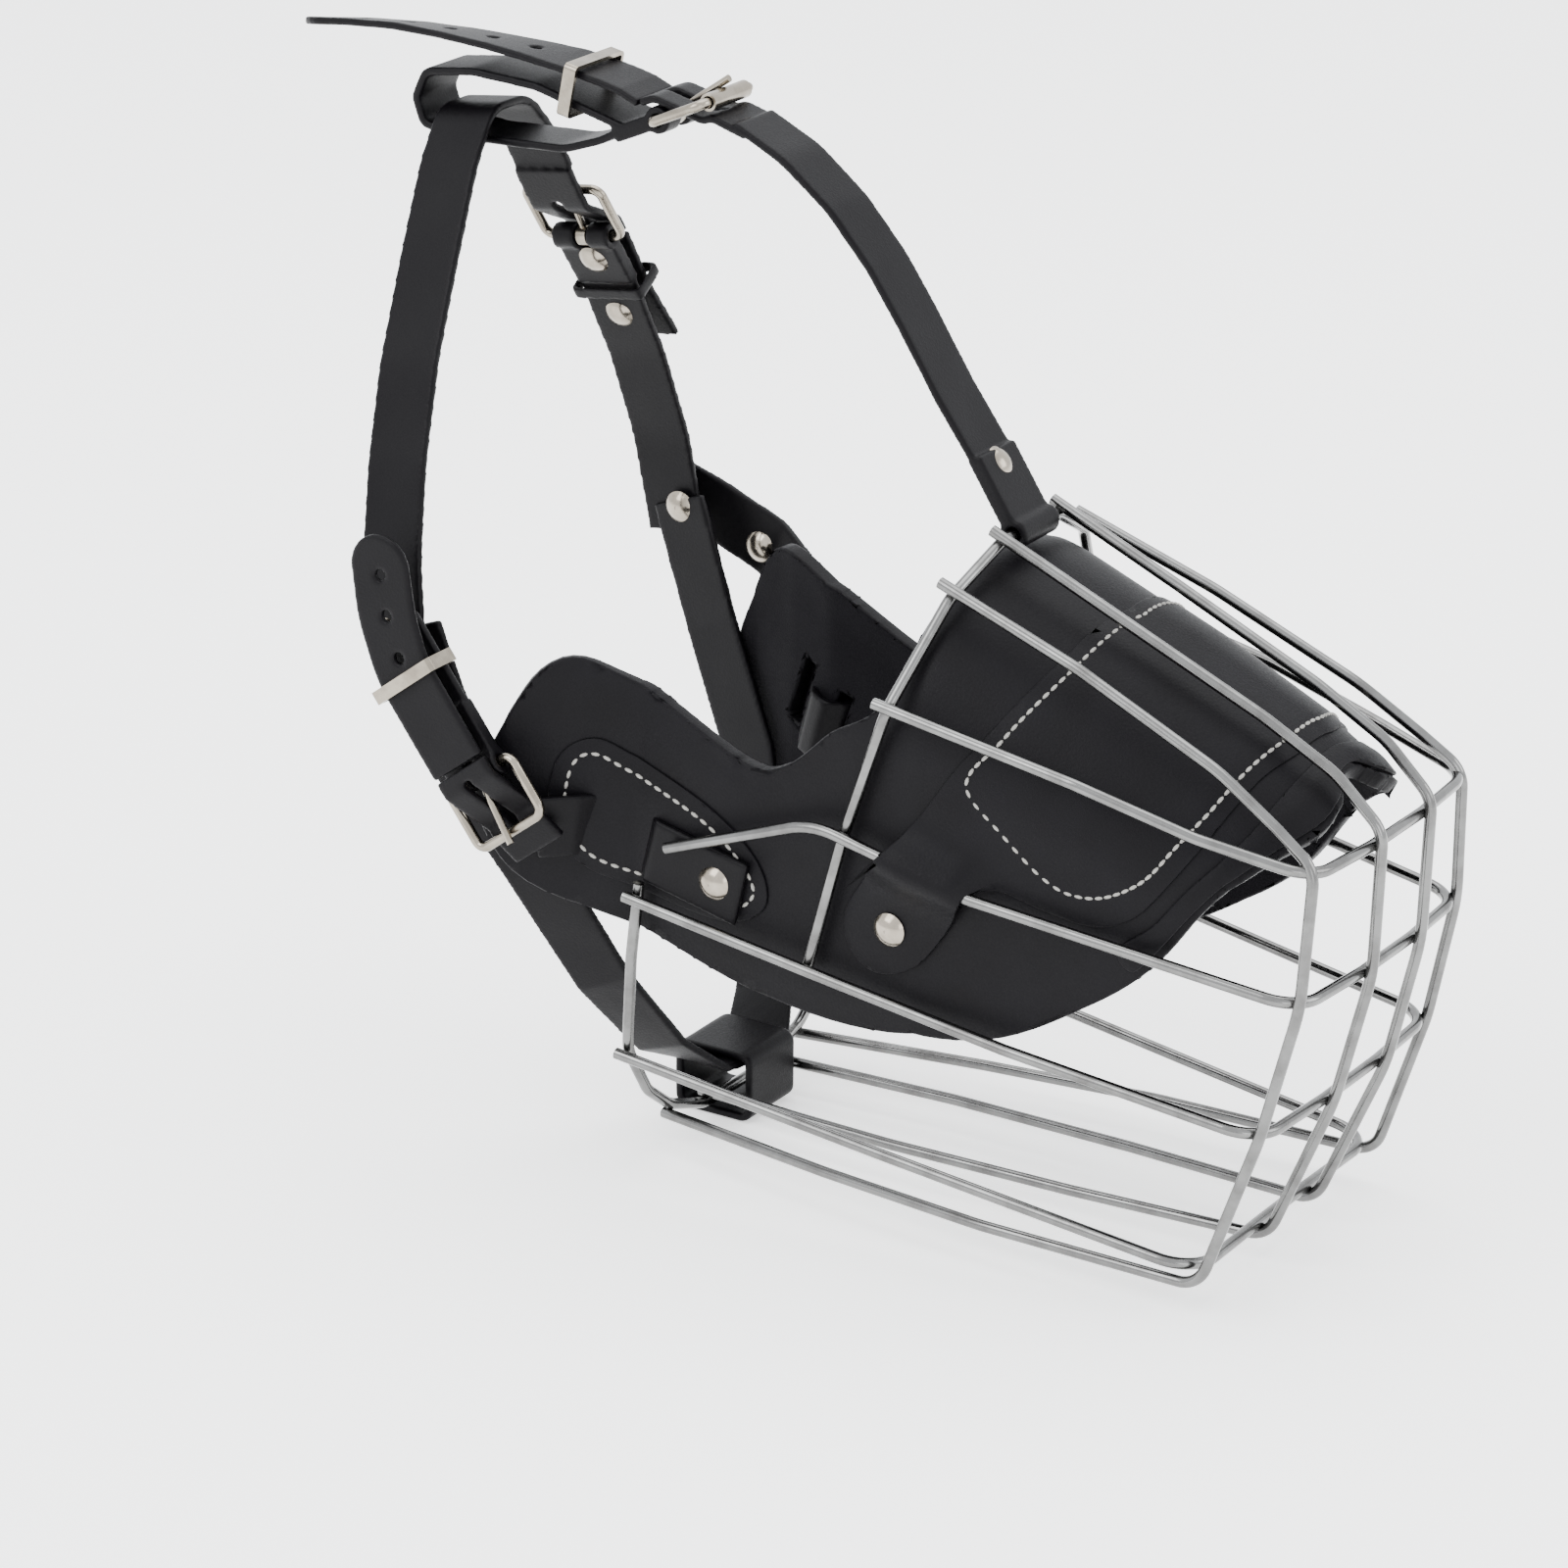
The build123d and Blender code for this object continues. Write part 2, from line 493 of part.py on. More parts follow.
# Harness rivets: both strap joints, the left cheek strap on its tab, and the neck buckle's strap end.
joint_spots = [((-254, -80.0, 152), (0, -1, 0)), ((-254, 81.7, 151), (0, 1, 0)),
               ((-251.5, 69.4, 150), (0, -1, 0)), ((-230, 81.8, 137.5), (0.05, -1, 0)),
               ((-208.4, 75.3, 129.9), (0.465, 0.885, 0)), ((-229, 84.2, 138.9), (0, 1, 0)),
               ((-266.6, 45.1, 231.9), tuple(NECK_SEAT.z_dir * -1)),
               ((-264.3, 56.1, 212.5), tuple(NECK_SEAT.z_dir * -1))]
save("joint_rivets", place_rivets(joint_spots, 1.0, back=False))
save("crown_rivet", place_rivets([((-98.4, 0, 210.1), (0.835, 0, 0.55))], 3.0, back=False))
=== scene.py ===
"""Basket muzzle for a large dog: welded wire cage, padded leather nose pad and head harness."""

import math

import bmesh
import bpy
from mathutils import Matrix, Vector, noise


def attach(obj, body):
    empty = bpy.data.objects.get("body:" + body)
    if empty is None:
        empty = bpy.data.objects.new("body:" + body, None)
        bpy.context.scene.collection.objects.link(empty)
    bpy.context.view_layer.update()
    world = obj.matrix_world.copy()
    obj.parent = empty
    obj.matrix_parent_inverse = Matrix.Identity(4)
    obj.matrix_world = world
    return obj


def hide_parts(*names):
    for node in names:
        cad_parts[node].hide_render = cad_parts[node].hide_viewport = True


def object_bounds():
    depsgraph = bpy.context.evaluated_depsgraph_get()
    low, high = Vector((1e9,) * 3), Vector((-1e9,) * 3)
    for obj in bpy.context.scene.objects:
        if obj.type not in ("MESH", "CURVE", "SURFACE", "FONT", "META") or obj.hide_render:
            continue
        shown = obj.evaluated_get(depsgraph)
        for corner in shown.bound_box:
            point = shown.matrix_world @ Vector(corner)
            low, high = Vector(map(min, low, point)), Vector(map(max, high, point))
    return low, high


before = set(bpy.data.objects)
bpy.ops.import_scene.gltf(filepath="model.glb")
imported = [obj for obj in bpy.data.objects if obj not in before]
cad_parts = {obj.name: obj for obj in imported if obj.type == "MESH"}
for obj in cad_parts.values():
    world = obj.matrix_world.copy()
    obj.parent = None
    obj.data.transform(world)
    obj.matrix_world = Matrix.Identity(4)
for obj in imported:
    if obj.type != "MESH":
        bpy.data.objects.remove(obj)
cad_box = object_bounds()
MM = 0.001

# ---------------------------------------------------------------- camera, floor and lights
# A long lens from the dog's right and in front, a little above the cage. The floor and the
# lamps belong to the studio and not to the muzzle.
CAMERA_AZIMUTH = math.radians(58)
CAMERA_HEIGHT = math.radians(20.92)
CAMERA_ROLL = math.radians(0.47)
CAMERA_PLACE = Vector((0.68626, -1.36945, 0.71558))
LENS = 135.0


def shade(code, alpha=1.0):
    """The linear colour of an sRGB hex value."""
    parts = [int(code[i:i + 2], 16) / 255 for i in (1, 3, 5)]
    return [c / 12.92 if c < 0.04045 else ((c + 0.055) / 1.055) ** 2.4 for c in parts] + [alpha]


def add_node(material, kind, settings, links=None):
    """Add one shader node, with its settings and what feeds its inputs."""
    made = material.node_tree.nodes.new(kind)
    for name, value in settings.items():
        if name in made.inputs:
            made.inputs[name].default_value = value
        else:
            setattr(made, name, value)
    for name, (source, output) in (links or {}).items():
        material.node_tree.links.new(source.outputs[output], made.inputs[name])
    return made


def blank(name):
    """A material with no nodes yet."""
    material = bpy.data.materials.new(name)
    material.use_nodes = True
    material.node_tree.nodes.clear()
    return material


back = Vector((math.cos(CAMERA_AZIMUTH) * math.cos(CAMERA_HEIGHT),
               -math.sin(CAMERA_AZIMUTH) * math.cos(CAMERA_HEIGHT), math.sin(CAMERA_HEIGHT)))
right = Vector((0, 0, 1)).cross(back).normalized()
upward = back.cross(right)
turn = Matrix((right, upward, back)).transposed().to_4x4()
lens = bpy.data.cameras.new("studio_camera")
lens.lens = LENS
lens.clip_end = 30
camera = bpy.data.objects.new("studio_camera", lens)
camera.matrix_world = Matrix.Translation(CAMERA_PLACE) @ turn @ Matrix.Rotation(CAMERA_ROLL, 4, "Z")
bpy.context.scene.collection.objects.link(camera)
bpy.context.scene.camera = camera

FLOOR_SIZE = 7.0
bm = bmesh.new()
bmesh.ops.create_grid(bm, x_segments=4, y_segments=4, size=FLOOR_SIZE,
                      matrix=Matrix.Translation((0, 0, cad_box[0].z - 0.0004)))
floor_mesh = bpy.data.meshes.new("floor")
bm.to_mesh(floor_mesh)
bm.free()
floor = bpy.data.objects.new("floor", floor_mesh)
bpy.context.scene.collection.objects.link(floor)
paper = blank("white_paper_sheet")
matt = add_node(paper, "ShaderNodeBsdfPrincipled", {"Base Color": shade("#fbfbfa"), "Roughness": 0.95,
                                                         "Emission Color": shade("#ffffff"),
                                                         "Emission Strength": 0.8})
add_node(paper, "ShaderNodeOutputMaterial", {}, {"Surface": (matt, "BSDF")})
floor_mesh.materials.append(paper)

SUBJECT = Vector((-0.13, 0, 0.15))
LAMPS = [("key_softbox", (-0.75, -1.35, 1.45), 1.1, 24), ("rim_softbox", (1.5, 0.7, 1.0), 1.0, 14),
         ("top_softbox", (-0.3, 0.5, 1.9), 1.5, 24), ("front_softbox", (1.3, -1.2, 0.5), 0.7, 5)]
for name, place, size, power in LAMPS:
    lamp = bpy.data.lights.new(name, "AREA")
    lamp.size = size
    lamp.energy = power
    softbox = bpy.data.objects.new(name, lamp)
    softbox.location = place
    softbox.rotation_euler = (SUBJECT - Vector(place)).to_track_quat("-Z", "Y").to_euler()
    bpy.context.scene.collection.objects.link(softbox)
world = bpy.data.worlds.new("studio_air")
world.use_nodes = True
world.node_tree.nodes["Background"].inputs["Color"].default_value = shade("#f2f4f7")
world.node_tree.nodes["Background"].inputs["Strength"].default_value = 2.7
bpy.context.scene.world = world

# ---------------------------------------------------------------- cage wires
# Hard-drawn steel wire, bent on a jig and spot welded at each crossing, then nickel-chrome
# plated as one cage. The plate is bright with faint draw lines and a few dull handling marks.
CAGE_WIRES = ["muzzle_hoop_1", "muzzle_hoop_2", "muzzle_hoop_3", "muzzle_hoop_4", "right_outer_wire",
              "left_outer_wire", "right_inner_wire", "left_inner_wire", "nose_arch_wire", "chin_wire"]
MARK_SIZE = 9 * MM  # dull handling marks
PIT_SIZE = 0.9 * MM  # plating texture


def plated(name, colour, dull, low, high):
    """Bright plating: low and high are its least and greatest roughness."""
    metal = blank(name)
    place = add_node(metal, "ShaderNodeTexCoord", {})
    marks = add_node(metal, "ShaderNodeTexNoise", {"Scale": 1 / MARK_SIZE, "Detail": 4.0, "Roughness": 0.6},
                     {"Vector": (place, "Object")})
    pits = add_node(metal, "ShaderNodeTexNoise", {"Scale": 1 / PIT_SIZE, "Detail": 3.0},
                    {"Vector": (place, "Object")})
    rough = add_node(metal, "ShaderNodeMapRange", {"From Min": 0.35, "From Max": 0.75, "To Min": low,
                                                   "To Max": high}, {"Value": (marks, "Fac")})
    tint = add_node(metal, "ShaderNodeValToRGB", {}, {"Fac": (marks, "Fac")})
    tint.color_ramp.elements[0].position = 0.4
    tint.color_ramp.elements[0].color = shade(colour)
    tint.color_ramp.elements[1].position = 0.75
    tint.color_ramp.elements[1].color = shade(dull)
    relief = add_node(metal, "ShaderNodeBump", {"Strength": 0.12, "Distance": 0.05 * MM},
                      {"Height": (pits, "Fac")})
    skin = add_node(metal, "ShaderNodeBsdfPrincipled", {"Metallic": 1.0},
                    {"Base Color": (tint, "Color"), "Roughness": (rough, "Result"), "Normal": (relief, "Normal")})
    add_node(metal, "ShaderNodeOutputMaterial", {}, {"Surface": (skin, "BSDF")})
    return metal


def finish_cad(nodes, material):
    """Give carried-over nodes their surface finish."""
    for node in nodes:
        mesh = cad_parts[node].data
        mesh.materials.clear()
        mesh.materials.append(material)


wire_plate = plated("nickel_chrome_plated_wire", "#727271", "#595857", 0.14, 0.3)
finish_cad(CAGE_WIRES, wire_plate)

# ---------------------------------------------------------------- nose pad
# One cut of black leather bent over the snout, backed with a soft lining and lightly stuffed.
# It is turned in at its edge, with a slit pair in each wing for the cheek tabs.
STATIONS = [(-246, 80, 192), (-220, 71.5, 192), (-200, 61, 192), (-184, 55.4, 192), (-140, 55, 192),
            (-92, 55.6, 188), (-40, 51.5, 168), (0, 46.8, 150.5), (26, 42, 136)]
RISE = 50.0
QUARTER = 82.0  # length of leather from the crown to where the sides turn upright
PAD_OUTLINE = [(15, 141.8), (18, 139.1), (19.5, 136.7), (18, 131.4), (6.3, 121.7), (-2.8, 113.1), (-20, 90), (-42, 73), (-69, 59), (-100, 54.5), (-141, 56),
               (-180, 67), (-215, 80), (-229, 104), (-220, 130), (-206, 149), (-186, 144),
               (-150, 126.5), (-136, 128), (-121, 141), (-104, 155), (-97, 184)]
PAD_THICK = 5.0
PAD_PITCH = 1.8  # spacing of the cuts that let the leather bend
PUFF = 1.1  # how far the stuffing lifts the leather
SLITS = [(-183, 98.2), (-196, 105.2)]
SLIT_LEAN = math.radians(20)
SLIT_HALF = (2.4, 11.2)


def at_station(x):
    """Half-width and crown height of the snout's saddle at x."""
    x = min(max(x, STATIONS[0][0]), STATIONS[-1][0])
    for (x0, half0, crown0), (x1, half1, crown1) in zip(STATIONS, STATIONS[1:]):
        if x <= x1:
            part = (x - x0) / (x1 - x0)
            return half0 + part * (half1 - half0), crown0 + part * (crown1 - crown0)


def over_snout(x, s, lift):
    """Bend a point of the flat leather, x along the snout and s round it from the crown."""
    half, crown = at_station(x)
    angle = min(abs(s) / QUARTER, 1) * math.pi / 2
    drop = max(abs(s) - QUARTER, 0)
    y = math.copysign((half + lift) * math.sin(angle), s)
    return Vector((x, y, crown - RISE + (RISE + lift) * math.cos(angle) - drop)) * MM


def unroll(x, z):
    """How far round from the crown a point lies that has this height."""
    up = z - at_station(x)[1] + RISE
    return QUARTER - up if up <= 0 else QUARTER * math.acos(min(up / RISE, 1)) / (math.pi / 2)


def both_cheeks(outline):
    """The whole flat outline of a piece that crosses the crown, from its side outline."""
    side = [(x, unroll(x, z)) for x, z in outline]
    return [(x, -s) for x, s in side] + [(x, s) for x, s in reversed(side)]


def flowing(points, steps=6):
    """A smooth closed line through flat points."""
    line = []
    for i in range(len(points)):
        a, b, c, d = (Vector(points[(i + k) % len(points)]) for k in (-1, 0, 1, 2))
        for step in range(steps):
            t = step / steps
            line.append(0.5 * (2 * b + (c - a) * t + (2 * a - 5 * b + 4 * c - d) * t * t
                               + (3 * b - a - 3 * c + d) * t ** 3))
    return line


def cut_leather(outline, pitch):
    """A flat cut of leather, cross-cut into small faces."""
    bm = bmesh.new()
    bm.faces.new([bm.verts.new((x, s, 0)) for x, s in outline])
    for axis in (0, 1):
        low = min(v.co[axis] for v in bm.verts)
        high = max(v.co[axis] for v in bm.verts)
        steps = round((high - low) / pitch)
        for i in range(1, steps):
            spot, way = Vector(), Vector()
            spot[axis] = low + (high - low) * i / steps
            way[axis] = 1
            bmesh.ops.bisect_plane(bm, geom=bm.verts[:] + bm.edges[:] + bm.faces[:], dist=0.02,
                                   plane_co=spot, plane_no=way)
    return bm


def cut_slit(bm, x, s, lean, half_width, half_length):
    """Cut a slit through flat leather."""
    along = Vector((math.sin(lean), math.cos(lean), 0))
    across = Vector((along.y, -along.x, 0))
    middle = Vector((x, s, 0))

    def near(face):
        return (face.calc_center_median() - middle).length < half_length + 6

    for way, reach in ((along, half_length), (across, half_width)):
        for end in (-1, 1):
            faces = [f for f in bm.faces if near(f)]
            geom = set(faces) | {e for f in faces for e in f.edges} | {v for f in faces for v in f.verts}
            bmesh.ops.bisect_plane(bm, geom=list(geom), dist=0.02, plane_co=middle + way * reach * end,
                                   plane_no=way)
    inside = [f for f in bm.faces
              if abs((f.calc_center_median() - middle).dot(along)) < half_length
              and abs((f.calc_center_median() - middle).dot(across)) < half_width]
    bmesh.ops.delete(bm, geom=inside, context="FACES")


def edge_distance(points, outline):
    """Distance from each flat point to the nearest edge of an outline."""
    ends = list(zip(outline, outline[1:] + outline[:1]))
    result = []
    for point in points:
        best = 1e9
        for (x0, s0), (x1, s1) in ends:
            dx, ds = x1 - x0, s1 - s0
            part = ((point[0] - x0) * dx + (point[1] - s0) * ds) / (dx * dx + ds * ds)
            part = min(max(part, 0), 1)
            best = min(best, math.hypot(point[0] - x0 - part * dx, point[1] - s0 - part * ds))
        result.append(best)
    return result


def leather(name, colour, dull, low, high, pore, relief):
    """Finished leather: pore is the size of its grain in mm and relief its depth in mm."""
    hide = blank(name)
    place = add_node(hide, "ShaderNodeTexCoord", {})
    cloud = add_node(hide, "ShaderNodeTexNoise", {"Scale": 1 / (22 * MM), "Detail": 3.0},
                     {"Vector": (place, "Object")})
    tint = add_node(hide, "ShaderNodeValToRGB", {}, {"Fac": (cloud, "Fac")})
    tint.color_ramp.elements[0].position = 0.36
    tint.color_ramp.elements[0].color = shade(dull)
    tint.color_ramp.elements[1].position = 0.68
    tint.color_ramp.elements[1].color = shade(colour)
    grain = add_node(hide, "ShaderNodeTexVoronoi", {"Scale": 1 / (pore * MM), "feature": "SMOOTH_F1",
                                                    "Smoothness": 0.4}, {"Vector": (place, "Object")})
    hair = add_node(hide, "ShaderNodeTexNoise", {"Scale": 1 / (pore * 0.45 * MM), "Detail": 5.0},
                    {"Vector": (place, "Object")})
    both = add_node(hide, "ShaderNodeMath", {"operation": "MULTIPLY_ADD"},
                    {0: (hair, "Fac")})
    both.inputs[1].default_value = 0.5
    hide.node_tree.links.new(grain.outputs["Distance"], both.inputs[2])
    bump = add_node(hide, "ShaderNodeBump", {"Strength": 0.5, "Distance": relief * MM},
                    {"Height": (both, "Value")})
    rough = add_node(hide, "ShaderNodeMapRange", {"From Min": 0.3, "From Max": 0.7, "To Min": low,
                                                  "To Max": high}, {"Value": (hair, "Fac")})
    skin = add_node(hide, "ShaderNodeBsdfPrincipled", {"Specular IOR Level": 0.1},
                    {"Base Color": (tint, "Color"), "Roughness": (rough, "Result"),
                     "Normal": (bump, "Normal")})
    add_node(hide, "ShaderNodeOutputMaterial", {}, {"Surface": (skin, "BSDF")})
    return hide


def bend_over(bm, name, lift, thick, round_edge):
    """Bend a flat cut over the snout, give it its thickness and round its cut edge."""
    bmesh.ops.recalc_face_normals(bm, faces=bm.faces[:])
    flat = [(v.co.x, v.co.y) for v in bm.verts]
    for vert, (x, s), height in zip(bm.verts, flat, lift(flat)):
        vert.co = over_snout(x, s, height)
    bm.normal_update()
    sample = max(bm.faces, key=lambda f: abs(f.normal.y) * f.calc_area())
    if sample.normal.y * sample.calc_center_median().y < 0:
        bmesh.ops.reverse_faces(bm, faces=bm.faces[:])
    for face in bm.faces:
        face.smooth = True
    mesh = bpy.data.meshes.new(name)
    bm.to_mesh(mesh)
    bm.free()
    piece = bpy.data.objects.new(name, mesh)
    bpy.context.scene.collection.objects.link(piece)
    wall = piece.modifiers.new("thickness", "SOLIDIFY")
    wall.thickness = thick * MM
    wall.offset = -1
    wall.material_offset = 1
    edge = piece.modifiers.new("turned_edge", "BEVEL")
    edge.width = round_edge * MM
    edge.segments = 3
    edge.limit_method = "ANGLE"
    edge.angle_limit = math.radians(50)
    edge.use_clamp_overlap = False
    return piece


def stuffed(outline, rise, reach, base=0.0):
    """Heights of a stuffed piece: pressed down at its edge and lifted by rise away from it."""
    def heights(points):
        return [base + rise * (1 - math.exp(-(d / reach) ** 2)) for d in edge_distance(points, outline)]
    return heights


smooth_black = leather("smooth_dyed_pad_leather", "#08070a", "#050406", 0.44, 0.6, 0.9, 0.10)
soft_lining = leather("soft_suede_lining", "#0c0b0e", "#070609", 0.85, 0.97, 0.6, 0.25)
pad_flat = flowing(both_cheeks(PAD_OUTLINE))
pad_bm = cut_leather(pad_flat, PAD_PITCH)
for slit_x, slit_z in SLITS:
    for cheek in (-1, 1):
        cut_slit(pad_bm, slit_x, cheek * unroll(slit_x, slit_z), -cheek * SLIT_LEAN, *SLIT_HALF)
nose_pad = bend_over(pad_bm, "nose_pad_leather", stuffed(pad_flat, PUFF, 7.0, -PUFF), PAD_THICK, 0.9)
nose_pad.data.materials.append(smooth_black)
nose_pad.data.materials.append(soft_lining)
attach(nose_pad, "cage")
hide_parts("nose_pad", "pad_lining")

# ---------------------------------------------------------------- sewn-on pieces of the pad
# A nose bridge piece, a front border and an oval on each wing, cut from the same leather.
# The bridge piece and the ovals are sewn down with heavy pale thread.
BRIDGE_EDGE = [(-56.5, 5), (-61, 34), (-71, 60), (-79.5, 76), (-91.2, 98.4), (-102.4, 113.5), (-112.6, 129),
               (-113.5, 139), (-109, 145.5), (-101.9, 147.5), (-91.6, 143), (-84.1, 132), (-74.7, 113.9),
               (-71, 107), (-64, 103.8), (-51.2, 102), (-36.4, 98), (-24.3, 88), (-15, 72.5), (-7.5, 56),
               (-3, 42), (0.5, 28), (4, 14), (4.5, 5)]
BRIDGE_SEAM = [(-51.9, 5), (-56.3, 33.4), (-66.7, 60), (-74.6, 74.5), (-74, 81), (-64.5, 86.2), (-52.6, 91.7),
               (-43, 92), (-32.6, 86.5), (-21.8, 75), (-14.7, 61.5), (-8.3, 46.7), (-3.9, 30.7),
               (-0.1, 13.2), (0.4, 4)]
BORDER_EDGE = [(14.4, 5), (17.4, 12), (18.8, 18), (17.2, 31), (5.6, 54), (-3.5, 69), (-20.5, 99), (-26, 104.5),
               (-29, 100), (-19, 87), (-10, 71), (-1.5, 56), (4, 42), (7.6, 22), (8.4, 12), (8.2, 5)]
WING_OUTLINE = [(-206, 119), (-196, 126), (-183, 121), (-158, 110), (-143, 97), (-141, 84),
                (-155, 77), (-182, 81), (-200, 87), (-208, 101)]
PATCH_THICK = 1.3
PATCH_PITCH = 2.0
THREAD = 0.55  # thread radius
STITCH = 2.7  # length of a stitch
STITCH_PITCH = 3.4
SEAM_INSET = 4.6


def inset(outline, depth):
    """Points this far inside a closed outline."""
    middle = (sum(p[0] for p in outline) / len(outline), sum(p[1] for p in outline) / len(outline))
    moved = []
    for before, here, after in zip(outline[-1:] + outline[:-1], outline, outline[1:] + outline[:1]):
        way = Vector((after[0] - before[0], after[1] - before[1])).normalized()
        side = Vector((way.y, -way.x))
        if side.dot(Vector((middle[0] - here[0], middle[1] - here[1]))) < 0:
            side = -side
        moved.append((here[0] + side.x * depth, here[1] + side.y * depth))
    return moved


def evenly(seam, pitch):
    """Points this far apart along a flat line, each with the direction of the line there."""
    spots, left = [], pitch / 2
    for here, there in zip(seam, seam[1:]):
        length = (there - here).length
        while left < length:
            spots.append((here + (there - here) * (left / length), (there - here).normalized()))
            left += pitch
        left -= length
    return spots


def sew(name, seam, height, body):
    """Stitches along a closed flat seam line, each one dipping into the leather at both ends."""
    bm = bmesh.new()
    for spot, way in evenly(seam + seam[:1], STITCH_PITCH):
        place = over_snout(spot.x, spot.y, height)
        along = (over_snout(spot.x + way.x, spot.y + way.y, height) - place).normalized()
        outward = over_snout(spot.x, spot.y, height + 1) - place
        side = outward.cross(along).normalized()
        turned = Matrix((along, side, along.cross(side))).transposed().to_4x4()
        size = Matrix.Diagonal((STITCH / 2 * MM, THREAD * MM, THREAD * MM, 1))
        bmesh.ops.create_uvsphere(bm, u_segments=8, v_segments=6, radius=1,
                                  matrix=Matrix.Translation(place) @ turned @ size)
    for face in bm.faces:
        face.smooth = True
    mesh = bpy.data.meshes.new(name)
    bm.to_mesh(mesh)
    bm.free()
    mesh.materials.append(pale_thread)
    piece = bpy.data.objects.new(name, mesh)
    bpy.context.scene.collection.objects.link(piece)
    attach(piece, body)


pale_thread = blank("waxed_polyester_thread")
thread_place = add_node(pale_thread, "ShaderNodeTexCoord", {})
thread_twist = add_node(pale_thread, "ShaderNodeTexNoise", {"Scale": 1 / (0.5 * MM), "Detail": 3.0},
                        {"Vector": (thread_place, "Object")})
thread_tint = add_node(pale_thread, "ShaderNodeValToRGB", {}, {"Fac": (thread_twist, "Fac")})
thread_tint.color_ramp.elements[0].color = shade("#6a6864")
thread_tint.color_ramp.elements[1].color = shade("#9a9892")
thread_bump = add_node(pale_thread, "ShaderNodeBump", {"Strength": 0.6, "Distance": 0.1 * MM},
                       {"Height": (thread_twist, "Fac")})
thread_skin = add_node(pale_thread, "ShaderNodeBsdfPrincipled", {"Roughness": 0.55},
                       {"Base Color": (thread_tint, "Color"), "Normal": (thread_bump, "Normal")})
add_node(pale_thread, "ShaderNodeOutputMaterial", {}, {"Surface": (thread_skin, "BSDF")})


def sewn_on(name, nodes, outline, heights):
    """A flat piece of leather lying on the stuffed pad."""
    piece = bend_over(cut_leather(outline, PATCH_PITCH), name, heights, PATCH_THICK, 0.45)
    piece.data.materials.append(smooth_black)
    piece.data.materials.append(smooth_black)
    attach(piece, "cage")
    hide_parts(*nodes)


def mirrored(side):
    """A closed flat outline from the points of its right half, one crown end to the other."""
    return [(x, -s) for x, s in side] + [(x, s) for x, s in reversed(side)]


HOOP_SPAN = ((-121, 116.3), (-72, 103.5))  # x and z of the second hoop either side of the flaps
HOOP_LIFT = 7.9  # how far the flaps stand off to pass over the hoop
RIDGE = 8.0  # half-width of the ridge that the hoop makes
SEAM_HEIGHT = PATCH_THICK + 0.05


def over_hoop(points):
    """Heights of the bridge piece, with a rounded ridge where its flaps cross the second hoop."""
    (x0, z0), (x1, z1) = HOOP_SPAN
    heights = []
    for (x, s), height in zip(points, stuffed(bridge_flat, 0.7, 3.5, PATCH_THICK - 0.5)(points)):
        hoop = unroll(x, z0 + (x - x0) / (x1 - x0) * (z1 - z0))
        flap = min(max((-64 - x) / 12, 0), 1) * min(max((abs(s) - 78) / 14, 0), 1)
        flap = flap * flap * (3 - 2 * flap)
        heights.append(height + flap * (0.7 + HOOP_LIFT * math.exp(-((abs(s) - hoop) / RIDGE) ** 2)))
    return heights


bridge_flat = flowing(mirrored(BRIDGE_EDGE), 4)
sewn_on("nose_bridge_piece", ["nose_patch", "right_wire_flap", "left_wire_flap"], bridge_flat, over_hoop)
sew("bridge_stitching", flowing(mirrored(BRIDGE_SEAM), 12), SEAM_HEIGHT, "cage")
border_flat = flowing(mirrored(BORDER_EDGE), 4)
sewn_on("front_edge_border", ["front_border"], border_flat, stuffed(border_flat, 1.0, 3.0, PATCH_THICK - 0.7))
for cheek, side in ((-1, "right"), (1, "left")):
    oval = [(x, cheek * unroll(x, z)) for x, z in WING_OUTLINE]
    wing_flat = flowing(oval)
    sewn_on(f"{side}_wing_oval", [f"{side}_wing_patch"], wing_flat,
            stuffed(wing_flat, 0.7, 3.5, PATCH_THICK - 0.5))
    sew(f"{side}_wing_stitching", flowing(inset(oval, SEAM_INSET), 12), SEAM_HEIGHT, "cage")

# ---------------------------------------------------------------- harness leather
# Bridle leather cut into straps, its edges rounded, folded round the buckles.
STRAP_NODES = {"crown_strap": ["crown_strap", "crown_loop"], "crown_tail": ["crown_tail"],
               "neck_tail": ["neck_tail"], "cheek_tail": ["cheek_tail"],
               "head_harness": ["neck_strap", "left_buckle_strap", "right_buckle_strap",
                                "left_cheek_strap", "throat_strap", "throat_loop"],
               "neck_keeper": ["neck_keeper"],
               "cage": ["right_cheek_tab", "left_cheek_tab"]}
STRAP_VOXEL = 0.6


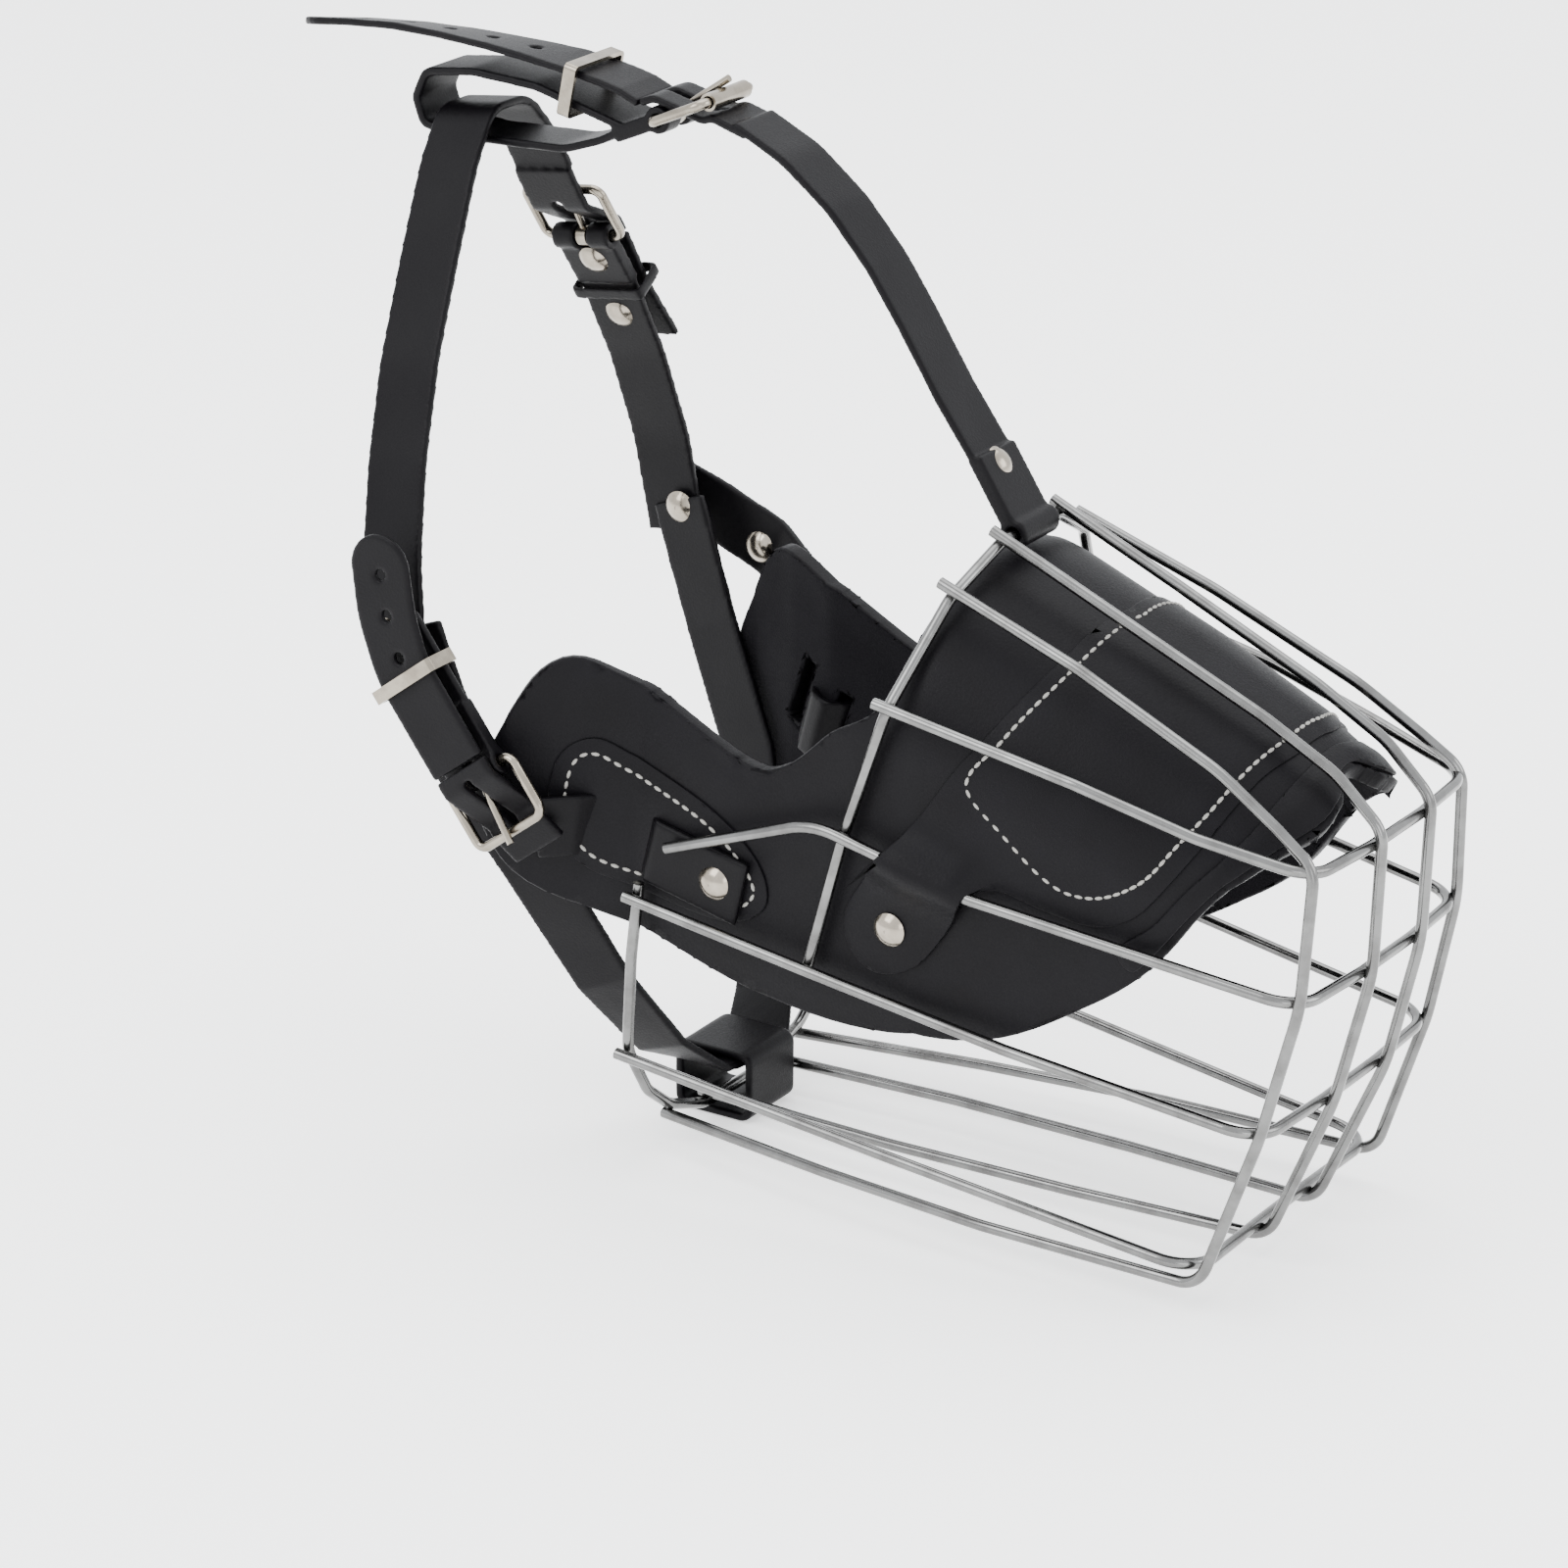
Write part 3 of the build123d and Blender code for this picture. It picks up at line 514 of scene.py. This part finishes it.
def supple(node, name, rounds):
    """A strap from its plain solid, with the sharp edges pared and rubbed round."""
    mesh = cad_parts[node].data.copy()
    mesh.name = name
    bm = bmesh.new()
    bm.from_mesh(mesh)
    bmesh.ops.remove_doubles(bm, verts=bm.verts[:], dist=0.02 * MM)
    bm.to_mesh(mesh)
    bm.free()
    piece = bpy.data.objects.new(name, mesh)
    bpy.context.scene.collection.objects.link(piece)
    pared = piece.modifiers.new("pared", "REMESH")
    pared.mode = "VOXEL"
    pared.voxel_size = STRAP_VOXEL * MM
    pared.use_smooth_shade = True
    bpy.context.view_layer.update()
    whole = bpy.data.meshes.new_from_object(piece.evaluated_get(bpy.context.evaluated_depsgraph_get()))
    piece.modifiers.clear()
    bm = bmesh.new()
    bm.from_mesh(whole)
    for _ in range(rounds):
        bmesh.ops.smooth_vert(bm, verts=bm.verts[:], factor=0.5, use_axis_x=True, use_axis_y=True,
                              use_axis_z=True)
    for vert in bm.verts:
        vert.co += vert.normal * (0.12 * MM * noise.noise(vert.co / (14 * MM)))
    for face in bm.faces:
        face.smooth = True
    bm.to_mesh(whole)
    bm.free()
    piece.data = whole
    return piece


bridle = leather("burnished_bridle_leather", "#070608", "#040305", 0.36, 0.54, 0.7, 0.07)
for body, nodes in STRAP_NODES.items():
    for node in nodes:
        strap = supple(node, node + "_leather", 3)
        strap.data.materials.clear()
        strap.data.materials.append(bridle)
        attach(strap, body)
        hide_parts(node)

# ---------------------------------------------------------------- buckles, keepers and rivets
# Die-bent steel buckles with loose tongues, flat keepers and domed rivets, all nickel plated.
HARDWARE = ["crown_buckle_frame", "neck_buckle_frame", "cheek_buckle_frame", "crown_tongue",
            "neck_tongue", "cheek_tongue", "crown_roller", "crown_keeper", "cheek_keeper"]
RIVETS = ["flap_rivets", "tab_rivets", "joint_rivets", "crown_rivet"]
nickel = plated("nickel_plated_steel", "#8f887c", "#6e675d", 0.16, 0.34)
finish_cad(HARDWARE, nickel)
finish_cad(RIVETS, plated("nickel_plated_rivets", "#9a9286", "#777064", 0.14, 0.28))
